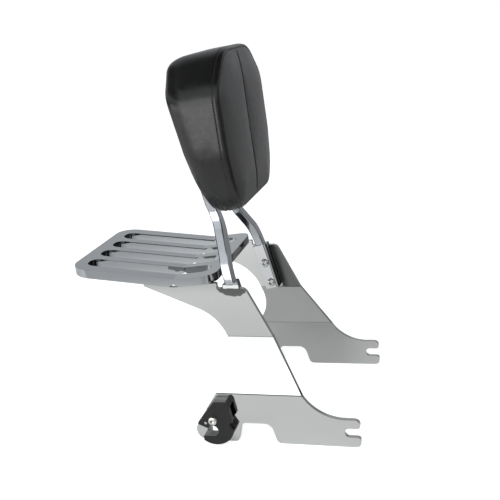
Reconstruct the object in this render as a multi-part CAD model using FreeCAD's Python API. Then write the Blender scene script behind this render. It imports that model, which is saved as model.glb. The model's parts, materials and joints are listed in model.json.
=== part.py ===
import FreeCAD, Part
import math
import os

V = FreeCAD.Vector

# Frame: X points forward along the machine, Y to its left, Z up. The part stands on the bottom edges
# of its side plates at z = 0, and y = 0 is the middle plane. Sizes along X are given from the closed
# end of the front notch, and every solid is moved at the end to put x = 0 at the middle of the length.
# The right side is modelled, and the left side is its mirror image.

# Side plates: flat steel with two bends, wide apart at the bottom and narrower above
PLATE_T = 6.35
WIDTH_LOW = 240.5
WIDTH_HIGH = 187.0
BEND_LOW_Z = 71.0
BEND_HIGH_Z = 142.0
BEND_INSIDE_R = 2.0

# Outline of a side plate, seen from the side
TIP_X = 20.5
FRONT_ARM_TOP_Z = 39.0
FRONT_ARM_SWEEP_R = 62.0
FRONT_LOW_ANGLE = 62.4
KNEE_X = -89.4
KNEE_Z = 142.6
KNEE_R = 30.0
FRONT_HIGH_ANGLE = 65.4
PLATE_TOP_Z = 209.5
PLATE_TOP_R = 9.0
TIP_LOW_R = 7.0
TIP_HIGH_R = 7.0
NOTCH_MOUTH_R = 4.0
REAR_MOUTH_R = 2.0
STEP_R = 1.8
STEP_PLAY = 1.5
ARM_END_R = 0.8
REAR_SWEEP_X = -116.0
REAR_SWEEP_Z = 151.1
REAR_SWEEP_R = 65.0
REAR_ARM_ANGLE = 23.4
REAR_ARM_END_X = -260.0
REAR_EDGE_ANGLE = 56.8
LOBE_R = 15.0
CUTOUT_FRONT_X = -97.0
CUTOUT_LENGTH = 39.5
CUTOUT_HEIGHT = 28.5
CUTOUT_FLARE = 7.5
CUTOUT_FRONT_R = 12.0
CUTOUT_REAR_R = 8.0
LIP_FRONT_R = 8.0
LIP_REAR_R = 5.0

# Notches that take the docking posts: the front one opens forwards, the rear one downwards
NOTCH_R = 7.5
FRONT_NOTCH_R = 6.5
FRONT_NOTCH_Z = 20.5
POST_DROP = 15.6
POST_BEHIND = 2.0

# Upright: a bent bar on two flat feet, which lean back between the side plates
FOOT_LEAN = 12.4
FOOT_X = -133.8
FOOT_Z = 175.0
FOOT_WIDTH = 22.0
FOOT_T = 16.0
FOOT_BELOW = 29.5
FOOT_ABOVE = 39.5
FOOT_FRONT_R = 5.5
FOOT_REAR_R = 1.5
BAR_DEPTH = 12.7
BAR_WIDTH = 14.3
BAR_LEAN_Z = 248.0
BAR_LEAN_R = 60.0
JOGGLE_LOW_Z = 235.6
JOGGLE_HIGH_Z = 306.2
JOGGLE_LOW_R = 28.0
JOGGLE_HIGH_R = 117.0
HOOP_WIDTH = 89.0
HOOP_TOP_Z = 470.0
HOOP_TOP_R = 33.0

# Luggage rack: one slotted plate that rests on the rear arms, its front part bent up
RACK_OVERHANG = 0.6
RACK_T = 11.5
RACK_REAR_X = -368.4
RACK_BEND_X = -217.1
RACK_FRONT_X = -159.2
RACK_BEND_Z = 222.9
RACK_REAR_SLOPE = 0.114
RACK_FRONT_SLOPE = 0.095
RACK_REAR_R = 28.0
RACK_FRONT_R = 19.0
RAIL_WIDTH = 19.1
RACK_BAR = 14.0
RACK_SLOTS = 4
RACK_REAR_BAR = 16.5
RACK_FRONT_BAR = 14.8
SLOT_ROUND = 0.44
GROOVE_HALF = 7.0
GROOVE_DEPTH = 4.5

# Tabs inside the rear arms, which hold the rack from below
TAB_LENGTH = 24.0
TAB_WIDTH = 11.5
TAB_T = 5.0
TAB_EDGE_R = 0.5
TAB_FROM_BEND = 24.0

# Pad: a wedge of foam in a sewn cover, on a stiff board
PAD_TOP_Z = 507.0
PAD_LOW_Z = 309.0
PAD_WIDTH = 210.0
PAD_FRONT_X = -115.9
PAD_FRONT_SLOPE = 0.041
PAD_BACK_X = -164.3
PAD_BACK_SLOPE = 0.207
PAD_FRONT_BEVEL = 5.0
PAD_BACK_BEVEL = 11.0
# Corners of the pad's outline: how far in from its side, how far up in shares of its height, and the radius
PAD_CORNERS = [(43, 1.0, 55), (0, 0.737, 45), (1, 0.384, 80), (15, 0.141, 40), (35, 0.0, 18)]
BOARD_INSET = 18.0
BOARD_T = 9.0
BOARD_GAP = 0.3

# Plate between the legs of the upright, and what fastens the pad to it
BRACKET_T = 4.0
BRACKET_LOW = 42.0
BRACKET_HEIGHT = 76.0
PAD_SCREW_SPACING_Y = 36.0
PAD_SCREW_SPACING_Z = 50.0
TEE_FLANGE_R = 8.5
TEE_FLANGE_T = 1.5
TEE_BARREL_R = 4.2

# Screws, washers and nuts
FOOT_SCREW_R = 4.0
FOOT_SCREW_SPACING = 31.75
FOOT_SCREW_MIDDLE = -4.6
FOOT_SCREW_THREAD = 5.0
FOOT_HEAD_R = 6.4
FOOT_HEAD_H = 4.2
FOOT_SOCKET_R = 2.9
SMALL_SCREW_R = 3.0
SMALL_SCREW_THREAD = 7.0
SMALL_HEAD_R = 5.2
SMALL_HEAD_H = 3.3
SMALL_SOCKET_R = 2.3
HOLE_PLAY = 0.15
END_PLAY = 0.5
WASHER_T = 1.6
WASHER_R = 7.9
NUT_R = 7.5
NUT_H = 6.5
THREAD_SHOWING = 1.5

# Rotary latch, measured from its pivot, and outwards from the plate's outer face
PIVOT_X = -171.7
PIVOT_Z = 38.5
BASE_HUB_R = 7.6
BASE_T = 6.5
BUSH_R = 5.0
BUSH_PLAY = 0.06
BUSH_END_PLAY = 0.3
WAVE_WASHER_T = 0.6
WAVE_WASHER_R = 7.2
LEVER_BACK = 0.6
LEVER_STEP = 7.2
LEVER_FACE = 14.0
HOOK_X = 0.8
HOOK_Z = -8.8
HOOK_R = 27.4
SEAT_PLAY = 0.3
JAW_TIP_X = -15.8
LEVER_TOP = 27.7
TAB_ROOT_Z = 18.5
HOOK_TOP_Z = -6.6
HUB_CLEAR = 0.5
SWEEP_ANGLE = 122.0
DOWEL_R = 2.0
DOWEL_X = -14.2
DOWEL_Z = -9.4
DOWEL_DEPTH = 5.0
DOWEL_BELOW_FACE = 0.5

# Sizes and places that follow from the sizes above
RACK_WIDTH = WIDTH_HIGH + 2 * RACK_OVERHANG
OUT_LOW_Y = -WIDTH_LOW / 2
OUT_HIGH_Y = -WIDTH_HIGH / 2
IN_LOW_Y = OUT_LOW_Y + PLATE_T
IN_HIGH_Y = OUT_HIGH_Y + PLATE_T
POST_X = PIVOT_X - POST_BEHIND
POST_Z = PIVOT_Z - POST_DROP
MIDDLE_X = (RACK_REAR_X + TIP_X) / 2
BACK_ANGLE = math.degrees(math.atan(PAD_BACK_SLOPE))


def rounded_wire(corners, place):
    """Closed wire through corners (a, b, r), each rounded with radius r; place puts (a, b) in space."""
    count = len(corners)
    points = [V(a, b, 0) for a, b, r in corners]
    ends = []
    for i, (a, b, r) in enumerate(corners):
        p = points[i]
        if r == 0:
            ends.append((p, None, p))
            continue
        before = (points[i - 1] - p).normalize()
        after = (points[(i + 1) % count] - p).normalize()
        half = before.getAngle(after) / 2
        reach = r / math.tan(half)
        middle = p + (before + after).normalize() * (r / math.sin(half) - r)
        ends.append((p + before * reach, middle, p + after * reach))
    edges = []
    for i in range(count):
        start, middle, end = ends[i]
        if middle is not None:
            edges.append(Part.Arc(place(start), place(middle), place(end)).toShape())
        following = ends[(i + 1) % count][0]
        if (following - end).Length > 1e-5:
            edges.append(Part.LineSegment(place(end), place(following)).toShape())
    return Part.Wire(edges)


def side_solid(corners, y0, y1):
    """Solid of an outline in x and z, between y0 and y1."""
    wire = rounded_wire(corners, lambda p: V(p.x, y0, p.y))
    return Part.Face(wire).extrude(V(0, y1 - y0, 0))


def front_solid(corners, x0, x1):
    """Solid of an outline in y and z, between x0 and x1."""
    wire = rounded_wire(corners, lambda p: V(x0, p.x, p.y))
    return Part.Face(wire).extrude(V(x1 - x0, 0, 0))


def plan_solid(corners, z0, z1):
    """Solid of an outline in x and y, between z0 and z1."""
    wire = rounded_wire(corners, lambda p: V(p.x, p.y, z0))
    return Part.Face(wire).extrude(V(0, 0, z1 - z0))


def bar_corners(path, thickness):
    """Outline of a bar of even thickness along a path of (a, b, r), r being the bend at its middle line."""
    half = thickness / 2
    points = [V(a, b, 0) for a, b, r in path]
    sides = ([], [])
    for i, (a, b, r) in enumerate(path):
        before = points[i] - points[max(i - 1, 0)]
        after = points[min(i + 1, len(path) - 1)] - points[i]
        before = before.normalize() if i > 0 else V(after).normalize()
        after = after.normalize() if i < len(path) - 1 else before
        turn = before.x * after.y - before.y * after.x
        mitre = V(-before.y - after.y, before.x + after.x, 0)
        mitre = mitre * (half / (1 + before.dot(after)))
        for side, sign in ((0, 1), (1, -1)):
            p = points[i] + mitre * sign
            bend = r - half * sign * (1 if turn > 0 else -1) if r else 0
            sides[side].append((p.x, p.y, bend))
    return sides[0] + sides[1][::-1]


def cylinder(radius, start, end):
    axis = end - start
    return Part.makeCylinder(radius, axis.Length, start, axis)


def across(out):
    """A direction square to out, which lies along Y or in the plane of X and Z."""
    return V(1, 0, 0) if abs(out.y) > 0.5 else V(0, 1, 0)


def prism6(radius, start, out, height):
    """Six-sided prism that stands on start, with out as its axis."""
    first = across(out)
    second = out.cross(first)
    ring = []
    for k in range(7):
        t = math.radians(60 * (k % 6))
        ring.append(start + first * (radius * math.cos(t)) + second * (radius * math.sin(t)))
    return Part.Face(Part.makePolygon(ring)).extrude(out * height)


def button_screw(radius, grip, head_r, head_h, socket_r, seat, out):
    """Screw whose domed head stands on seat and whose shank runs the other way for the grip."""
    rim = head_h * 0.2
    side = across(out)

    def at(r, h):
        return seat + side * r + out * h

    profile = Part.Wire([
        Part.LineSegment(at(0, -grip), at(radius, -grip)).toShape(),
        Part.LineSegment(at(radius, -grip), at(radius, 0)).toShape(),
        Part.LineSegment(at(radius, 0), at(head_r, 0)).toShape(),
        Part.LineSegment(at(head_r, 0), at(head_r, rim)).toShape(),
        Part.LineSegment(at(head_r, rim), at(head_r * 0.85, head_h * 0.7)).toShape(),
        Part.LineSegment(at(head_r * 0.85, head_h * 0.7), at(head_r * 0.55, head_h)).toShape(),
        Part.LineSegment(at(head_r * 0.55, head_h), at(0, head_h)).toShape(),
        Part.LineSegment(at(0, head_h), at(0, -grip)).toShape(),
    ])
    screw = Part.Face(profile).revolve(seat, out, 360)
    if screw.Volume < 0:
        screw = screw.reversed()
    return screw.cut(prism6(socket_r, at(0, head_h * 0.35), out, head_h))


def frame_at(x, z, angle):
    """Placement of a leaning frame: its origin at x, z, and its upward axis leaning back by angle."""
    return FreeCAD.Placement(V(x, 0, z), FreeCAD.Rotation(V(0, 1, 0), -angle))


FOOT_FRAME = frame_at(FOOT_X, FOOT_Z, FOOT_LEAN)
BACK_FRAME = frame_at(PAD_BACK_X, PAD_LOW_Z, BACK_ANGLE)


def place(shape, frame):
    moved = shape.copy()
    moved.Placement = frame
    return moved


def save(name, shapes):
    """Writes one node: one solid, or a group of separate ones."""
    solids = []
    for shape in shapes:
        solids += shape.Solids
    for solid in solids:
        solid.translate(V(-MIDDLE_X, 0, 0))
        if not solid.isValid() or solid.Volume <= 0:
            raise ValueError("bad solid in " + name)
    whole = solids[0] if len(solids) == 1 else Part.Compound(solids)
    whole.exportStep("parts/" + name + ".step")
    print(name, len(solids), round(whole.Volume), [round(c, 1) for c in (
        whole.BoundBox.XMin, whole.BoundBox.XMax, whole.BoundBox.YMin,
        whole.BoundBox.YMax, whole.BoundBox.ZMin, whole.BoundBox.ZMax)])


def save_pair(name, shapes):
    """Writes a right-hand node and its mirror image."""
    save(name + "_right", [shape.copy() for shape in shapes])
    save(name + "_left", [shape.mirror(V(0, 0, 0), V(0, 1, 0)) for shape in shapes])


def rack_top(x):
    """Height of the rack's top face."""
    slope = -RACK_REAR_SLOPE if x < RACK_BEND_X else RACK_FRONT_SLOPE
    return RACK_BEND_Z + slope * (x - RACK_BEND_X)


def rack_low(x):
    return rack_top(x) - RACK_T


# Side plates

def plate_strip():
    """The plate's thickness seen from the front, drawn out along X: upright, slanted, upright."""
    slant = math.atan2(OUT_HIGH_Y - OUT_LOW_Y, BEND_HIGH_Z - BEND_LOW_Z)
    down = PLATE_T / 2 * math.tan(slant / 2)
    bend = BEND_INSIDE_R + PLATE_T / 2
    low_y = OUT_LOW_Y + PLATE_T / 2
    high_y = OUT_HIGH_Y + PLATE_T / 2
    path = [
        (low_y, -10, 0),
        (low_y, BEND_LOW_Z - down, bend),
        (high_y, BEND_HIGH_Z - down, bend),
        (high_y, rack_low(RACK_REAR_X), 0),
    ]
    return front_solid(bar_corners(path, PLATE_T), RACK_REAR_X, TIP_X + 10)


def plate_corners():
    """Outline of the plate, from the front arm's lower tip round the front, the top and the rear."""
    low_x = KNEE_X + (KNEE_Z - FRONT_ARM_TOP_Z) / math.tan(math.radians(FRONT_LOW_ANGLE))
    top_x = KNEE_X - (PLATE_TOP_Z - KNEE_Z) / math.tan(math.radians(FRONT_HIGH_ANGLE))
    step_x = RACK_FRONT_X + STEP_PLAY
    arm_rise = (REAR_SWEEP_X - REAR_ARM_END_X) * math.tan(math.radians(REAR_ARM_ANGLE))
    heel_x = REAR_SWEEP_X - REAR_SWEEP_Z / math.tan(math.radians(REAR_EDGE_ANGLE))
    cutout_rear_x = CUTOUT_FRONT_X - CUTOUT_LENGTH
    return [
        (TIP_X, 0, TIP_LOW_R),
        (TIP_X, FRONT_NOTCH_Z - FRONT_NOTCH_R, NOTCH_MOUTH_R),
        (0, FRONT_NOTCH_Z - FRONT_NOTCH_R, FRONT_NOTCH_R),
        (0, FRONT_NOTCH_Z + FRONT_NOTCH_R, FRONT_NOTCH_R),
        (TIP_X, FRONT_NOTCH_Z + FRONT_NOTCH_R, NOTCH_MOUTH_R),
        (TIP_X, FRONT_ARM_TOP_Z, TIP_HIGH_R),
        (low_x, FRONT_ARM_TOP_Z, FRONT_ARM_SWEEP_R),
        (KNEE_X, KNEE_Z, KNEE_R),
        (top_x, PLATE_TOP_Z, PLATE_TOP_R),
        (step_x, PLATE_TOP_Z, STEP_R),
        (step_x, rack_low(step_x), STEP_R),
        (RACK_BEND_X, rack_low(RACK_BEND_X), 0),
        (REAR_ARM_END_X, rack_low(REAR_ARM_END_X), ARM_END_R),
        (REAR_ARM_END_X, REAR_SWEEP_Z + arm_rise, ARM_END_R),
        (REAR_SWEEP_X, REAR_SWEEP_Z, REAR_SWEEP_R),
        (heel_x, 0, LOBE_R),
        (POST_X - NOTCH_R, 0, REAR_MOUTH_R),
        (POST_X - NOTCH_R, POST_Z + NOTCH_R, NOTCH_R),
        (POST_X + NOTCH_R, POST_Z + NOTCH_R, NOTCH_R),
        (POST_X + NOTCH_R, 0, REAR_MOUTH_R),
        (cutout_rear_x - CUTOUT_FLARE, 0, LIP_REAR_R),
        (cutout_rear_x, CUTOUT_HEIGHT, CUTOUT_REAR_R),
        (CUTOUT_FRONT_X, CUTOUT_HEIGHT, CUTOUT_FRONT_R),
        (CUTOUT_FRONT_X + CUTOUT_FLARE, 0, LIP_FRONT_R),
    ]


def foot_screws_at():
    """Centres of the two foot screws on the middle plane."""
    half = FOOT_SCREW_SPACING / 2
    heights = (FOOT_SCREW_MIDDLE - half, FOOT_SCREW_MIDDLE + half)
    return [FOOT_FRAME.multVec(V(0, 0, s)) for s in heights]


def side_plate():
    plate = plate_strip().common(side_solid(plate_corners(), OUT_LOW_Y - 5, 0))
    hole = FOOT_SCREW_R + HOLE_PLAY
    for p in foot_screws_at():
        inner = V(p.x, IN_HIGH_Y, p.z)
        plate = plate.cut(cylinder(hole, inner - V(0, FOOT_SCREW_THREAD, 0), inner + V(0, 1, 0)))
    pivot = V(PIVOT_X, OUT_LOW_Y, PIVOT_Z)
    plate = plate.cut(cylinder(hole, pivot - V(0, 1, 0), pivot + V(0, PLATE_T + 1, 0)))
    dowel = pivot + V(DOWEL_X, 0, DOWEL_Z)
    return plate.cut(cylinder(DOWEL_R, dowel - V(0, 1, 0), dowel + V(0, DOWEL_DEPTH, 0)))


# Upright

def upright_foot():
    """Flat foot against the inner face of the side plate, with two screw holes."""
    block = Part.makeBox(FOOT_WIDTH, FOOT_T, FOOT_BELOW + FOOT_ABOVE, V(-FOOT_WIDTH / 2, IN_HIGH_Y, -FOOT_BELOW))
    long_edges = [e for e in block.Edges if abs(e.tangentAt(e.FirstParameter).z) > 0.9]
    inner = [e for e in long_edges if e.CenterOfMass.y > IN_HIGH_Y + FOOT_T / 2]
    block = block.makeFillet(FOOT_FRONT_R, [e for e in inner if e.CenterOfMass.x > 0])
    long_edges = [e for e in block.Edges if abs(e.tangentAt(e.FirstParameter).z) > 0.9]
    rear = [e for e in long_edges if e.CenterOfMass.x < -FOOT_WIDTH / 2 + 0.01]
    block = place(block.makeFillet(FOOT_REAR_R, rear), FOOT_FRAME)
    for p in foot_screws_at():
        hole = cylinder(FOOT_SCREW_R + HOLE_PLAY, V(p.x, IN_HIGH_Y - 1, p.z), V(p.x, IN_HIGH_Y + FOOT_T + 1, p.z))
        block = block.cut(hole)
    return block


def foot_screws():
    screws = []
    for p in foot_screws_at():
        seat = V(p.x, IN_HIGH_Y + FOOT_T, p.z)
        grip = FOOT_T + FOOT_SCREW_THREAD - END_PLAY
        screws.append(button_screw(FOOT_SCREW_R, grip, FOOT_HEAD_R, FOOT_HEAD_H, FOOT_SOCKET_R, seat, V(0, 1, 0)))
    return screws


def back_x(z):
    """Where the flat back of the pad stands at a height."""
    return PAD_BACK_X - PAD_BACK_SLOPE * (z - PAD_LOW_Z)


def hoop():
    """Bar from foot to foot: its bends seen from the side crossed with its bends seen from the front."""
    lean = math.tan(math.radians(FOOT_LEAN))
    half_deep = BAR_DEPTH / 2 / math.cos(math.radians(BACK_ANGLE))
    top_z = HOOP_TOP_Z + BAR_WIDTH
    side_path = [
        (FOOT_X, FOOT_Z, 0),
        (FOOT_X - lean * (BAR_LEAN_Z - FOOT_Z), BAR_LEAN_Z, BAR_LEAN_R),
        (back_x(PAD_LOW_Z) - half_deep, PAD_LOW_Z, BAR_LEAN_R),
        (back_x(top_z) - half_deep, top_z, 0),
    ]
    side = side_solid(bar_corners(side_path, BAR_DEPTH), -WIDTH_LOW, WIDTH_LOW)
    foot_y = IN_HIGH_Y + BAR_WIDTH / 2
    hoop_y = -(HOOP_WIDTH - BAR_WIDTH) / 2
    hoop_z = HOOP_TOP_Z - BAR_WIDTH / 2
    front_path = [
        (foot_y, FOOT_Z, 0),
        (foot_y, JOGGLE_LOW_Z, JOGGLE_LOW_R),
        (hoop_y, JOGGLE_HIGH_Z, JOGGLE_HIGH_R),
        (hoop_y, hoop_z, HOOP_TOP_R),
        (-hoop_y, hoop_z, HOOP_TOP_R),
        (-hoop_y, JOGGLE_HIGH_Z, JOGGLE_HIGH_R),
        (-foot_y, JOGGLE_LOW_Z, JOGGLE_LOW_R),
        (-foot_y, FOOT_Z, 0),
    ]
    bar = side.common(front_solid(bar_corners(front_path, BAR_WIDTH), RACK_REAR_X, 0))
    below_feet = Part.makeBox(100, WIDTH_LOW, 200, V(-50, -WIDTH_LOW / 2, FOOT_ABOVE - 200))
    return bar.cut(place(below_feet, FOOT_FRAME))


# Luggage rack

def luggage_rack():
    """Slotted plate: its side view drawn across, crossed with its plan, and rounded along the rims."""
    half = RACK_WIDTH / 2
    side = [
        (RACK_REAR_X, rack_top(RACK_REAR_X), 0),
        (RACK_BEND_X, RACK_BEND_Z, 0),
        (RACK_FRONT_X, rack_top(RACK_FRONT_X), 0),
        (RACK_FRONT_X, rack_low(RACK_FRONT_X), 0),
        (RACK_BEND_X + GROOVE_HALF, rack_low(RACK_BEND_X + GROOVE_HALF), 0),
        (RACK_BEND_X, rack_low(RACK_BEND_X) + GROOVE_DEPTH, 0),
        (RACK_BEND_X - GROOVE_HALF, rack_low(RACK_BEND_X - GROOVE_HALF), 0),
        (RACK_REAR_X, rack_low(RACK_REAR_X), 0),
    ]
    plan = [
        (RACK_REAR_X, -half, RACK_REAR_R),
        (RACK_FRONT_X, -half, RACK_FRONT_R),
        (RACK_FRONT_X, half, RACK_FRONT_R),
        (RACK_REAR_X, half, RACK_REAR_R),
    ]
    below = rack_low(RACK_BEND_X) - RACK_T
    above = rack_top(RACK_REAR_X) + RACK_T
    rack = side_solid(side, -half, half).common(plan_solid(plan, below, above))
    slot_width = (RACK_WIDTH - 2 * RAIL_WIDTH - (RACK_SLOTS - 1) * RACK_BAR) / RACK_SLOTS
    slot_r = SLOT_ROUND * slot_width
    x0 = RACK_REAR_X + RACK_REAR_BAR
    x1 = RACK_FRONT_X - RACK_FRONT_BAR
    for k in range(RACK_SLOTS):
        y0 = -half + RAIL_WIDTH + k * (slot_width + RACK_BAR)
        y1 = y0 + slot_width
        slot = [(x0, y0, slot_r), (x1, y0, slot_r), (x1, y1, slot_r), (x0, y1, slot_r)]
        rack = rack.cut(plan_solid(slot, below, above))
    for at, up in rack_screws_at():
        for y in (-1, 1):
            start = V(at.x, y * rack_screw_y(), at.z)
            rack = rack.cut(cylinder(SMALL_SCREW_R, start - up, start + up * SMALL_SCREW_THREAD))
    return rack


def rack_screw_y():
    return IN_HIGH_Y + TAB_WIDTH / 2


def rack_screws_at():
    """Where each rack screw meets the underside of the rack, and the direction it points in."""
    found = []
    for x, slope in ((RACK_BEND_X - TAB_FROM_BEND, -RACK_REAR_SLOPE), (RACK_BEND_X + TAB_FROM_BEND, RACK_FRONT_SLOPE)):
        found.append((V(x, 0, rack_low(x)), V(-slope, 0, 1).normalize()))
    return found


def rack_tabs():
    """Tabs welded inside the rear arm, one on each side of the bend, with a hole each."""
    tabs = []
    for at, up in rack_screws_at():
        along = V(up.z, 0, -up.x) * (TAB_LENGTH / 2)
        corners = [at - along, at + along, at + along - up * TAB_T, at - along - up * TAB_T]
        tab = side_solid([(p.x, p.z, TAB_EDGE_R) for p in corners], IN_HIGH_Y, IN_HIGH_Y + TAB_WIDTH)
        start = V(at.x, rack_screw_y(), at.z)
        tabs.append(tab.cut(cylinder(SMALL_SCREW_R + HOLE_PLAY, start - up * (TAB_T + 1), start + up)))
    return tabs


def rack_screws():
    screws = []
    for at, up in rack_screws_at():
        seat = V(at.x, rack_screw_y(), at.z) - up * TAB_T
        grip = TAB_T + SMALL_SCREW_THREAD - END_PLAY
        screws.append(button_screw(SMALL_SCREW_R, grip, SMALL_HEAD_R, SMALL_HEAD_H, SMALL_SOCKET_R, seat, up * -1))
    return screws


# Pad

def pad_front_x(z):
    """Where the front of the pad stands at a height."""
    return PAD_FRONT_X - PAD_FRONT_SLOPE * (z - PAD_LOW_Z)


def pad_corners():
    """Outline of the pad from the front: broad shoulders, a narrower and nearly flat foot."""
    half = [(PAD_WIDTH / 2 - a, PAD_LOW_Z + share * (PAD_TOP_Z - PAD_LOW_Z), r) for a, share, r in PAD_CORNERS]
    return half + [(-y, z, r) for y, z, r in half[::-1]]


def drawn_in(corners, inset):
    """A clockwise outline drawn in by inset all round."""
    count = len(corners)
    points = [V(a, b, 0) for a, b, r in corners]
    inner = []
    for i, (a, b, r) in enumerate(corners):
        before = (points[i] - points[i - 1]).normalize()
        after = (points[(i + 1) % count] - points[i]).normalize()
        inwards = V(before.y + after.y, -before.x - after.x, 0) * (inset / (1 + before.dot(after)))
        inner.append((a + inwards.x, b + inwards.y, max(r - inset, 1)))
    return inner


def rim_of(shape, plane_x):
    """Edges round the face that lies on the leaning plane x = plane_x(z)."""
    for face in shape.Faces:
        if all(abs(v.X - plane_x(v.Z)) < 0.01 for v in face.Vertexes):
            return face.OuterWire.Edges
    raise ValueError("no face on that plane")


def board_slab(inset, deep):
    """Slab on the pad's flat back, drawn in by inset from the outline, and so deep along X."""
    sides = [
        (back_x(PAD_LOW_Z), PAD_LOW_Z, 0),
        (back_x(PAD_LOW_Z) + deep, PAD_LOW_Z, 0),
        (back_x(PAD_TOP_Z) + deep, PAD_TOP_Z, 0),
        (back_x(PAD_TOP_Z), PAD_TOP_Z, 0),
    ]
    outline = front_solid(drawn_in(pad_corners(), inset), RACK_REAR_X, 0)
    return outline.common(side_solid(sides, -PAD_WIDTH, PAD_WIDTH))


def pad_screws_at():
    """Centres of the pad screws on the pad's flat back, in the frame of that back."""
    middle = BRACKET_LOW + BRACKET_HEIGHT / 2
    found = []
    for y in (-PAD_SCREW_SPACING_Y / 2, PAD_SCREW_SPACING_Y / 2):
        for z in (middle - PAD_SCREW_SPACING_Z / 2, middle + PAD_SCREW_SPACING_Z / 2):
            found.append(V(0, y, z))
    return found


def board_deep():
    """Thickness of the board measured along X rather than square to its face."""
    return BOARD_T / math.cos(math.radians(BACK_ANGLE))


def back_drill(radius, start, end):
    """Cylinders square to the pad's back at each pad screw, from depth start to depth end."""
    drills = []
    for p in pad_screws_at():
        drills.append(place(cylinder(radius, p + V(start, 0, 0), p + V(end, 0, 0)), BACK_FRAME))
    return drills


def pad():
    """Wedge between the leaning front and back, with bevelled rims and a pocket for the board."""
    sides = [
        (back_x(PAD_LOW_Z), PAD_LOW_Z, 0),
        (pad_front_x(PAD_LOW_Z), PAD_LOW_Z, 0),
        (pad_front_x(PAD_TOP_Z), PAD_TOP_Z, 0),
        (back_x(PAD_TOP_Z), PAD_TOP_Z, 0),
    ]
    outline = front_solid(pad_corners(), RACK_REAR_X, 0)
    foam = outline.common(side_solid(sides, -PAD_WIDTH, PAD_WIDTH))
    foam = foam.cut(board_slab(BOARD_INSET - BOARD_GAP, board_deep()))
    for recess in back_drill(TEE_FLANGE_R + BOARD_GAP, BOARD_T - 1, BOARD_T + TEE_FLANGE_T + BOARD_GAP):
        foam = foam.cut(recess)
    foam = foam.makeChamfer(PAD_FRONT_BEVEL, rim_of(foam, pad_front_x))
    return foam.makeChamfer(PAD_BACK_BEVEL, rim_of(foam, back_x))


def pad_board():
    board = board_slab(BOARD_INSET, board_deep())
    for hole in back_drill(TEE_BARREL_R + HOLE_PLAY, -1, BOARD_T + 1):
        board = board.cut(hole)
    return board


def tee_nuts():
    """Flanged nuts let into the front of the board."""
    flanges = back_drill(TEE_FLANGE_R, BOARD_T, BOARD_T + TEE_FLANGE_T)
    barrels = back_drill(TEE_BARREL_R, 1, BOARD_T + TEE_FLANGE_T)
    bores = back_drill(SMALL_SCREW_R + HOLE_PLAY, 0, BOARD_T + TEE_FLANGE_T + 1)
    return [f.fuse(b).cut(bore).removeSplitter() for f, b, bore in zip(flanges, barrels, bores)]


def pad_bracket():
    """Plate welded between the legs of the upright, flush with their front."""
    inside = HOOP_WIDTH - 2 * BAR_WIDTH
    plate = Part.makeBox(BRACKET_T, inside, BRACKET_HEIGHT, V(-BRACKET_T, -inside / 2, BRACKET_LOW))
    plate = place(plate, BACK_FRAME)
    for hole in back_drill(SMALL_SCREW_R + HOLE_PLAY, -BRACKET_T - 1, 1):
        plate = plate.cut(hole)
    return plate


def pad_screws():
    grip = BRACKET_T + BOARD_T
    back = BACK_FRAME.Rotation.multVec(V(-1, 0, 0))
    screws = []
    for p in pad_screws_at():
        seat = BACK_FRAME.multVec(p + V(-BRACKET_T, 0, 0))
        screws.append(button_screw(SMALL_SCREW_R, grip, SMALL_HEAD_R, SMALL_HEAD_H, SMALL_SOCKET_R, seat, back))
    return screws


# Rotary latch: (x, z) from the pivot, h outwards from the plate's outer face

def layer(corners, h0, h1):
    return side_solid([(x, z, r) for x, z, r in corners], -h1, -h0)


def disc(radius, x, z, h0, h1):
    return cylinder(radius, V(x, -h0, z), V(x, -h1, z))


def ray(angle, length):
    t = math.radians(angle)
    return (length * math.cos(t), length * math.sin(t), 0)


def latch_place(shape):
    moved = shape.copy()
    moved.translate(V(PIVOT_X, OUT_LOW_Y, PIVOT_Z))
    return moved


def latch_base():
    """Hub under the lever, with a block that reaches to the plate's rear edge and stops the lever."""
    block = layer([(-26.1, -10.6, 2.5), (-20.9, -3.4, 1), (-4, -1, 0), (-4, -9, 0), (-10.9, -17.3, 0.8)], 0, BASE_T)
    base = disc(BASE_HUB_R, 0, 0, 0, BASE_T).fuse(block)
    base = base.cut(disc(NOTCH_R + SEAT_PLAY, -POST_BEHIND, -POST_DROP, -1, BASE_T + 1))
    base = base.cut(disc(BUSH_R + BUSH_PLAY, 0, 0, -1, BASE_T + 1))
    base = base.cut(disc(DOWEL_R + BUSH_PLAY, DOWEL_X, DOWEL_Z, -1, BASE_T + 1))
    return latch_place(base.removeSplitter())


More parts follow.
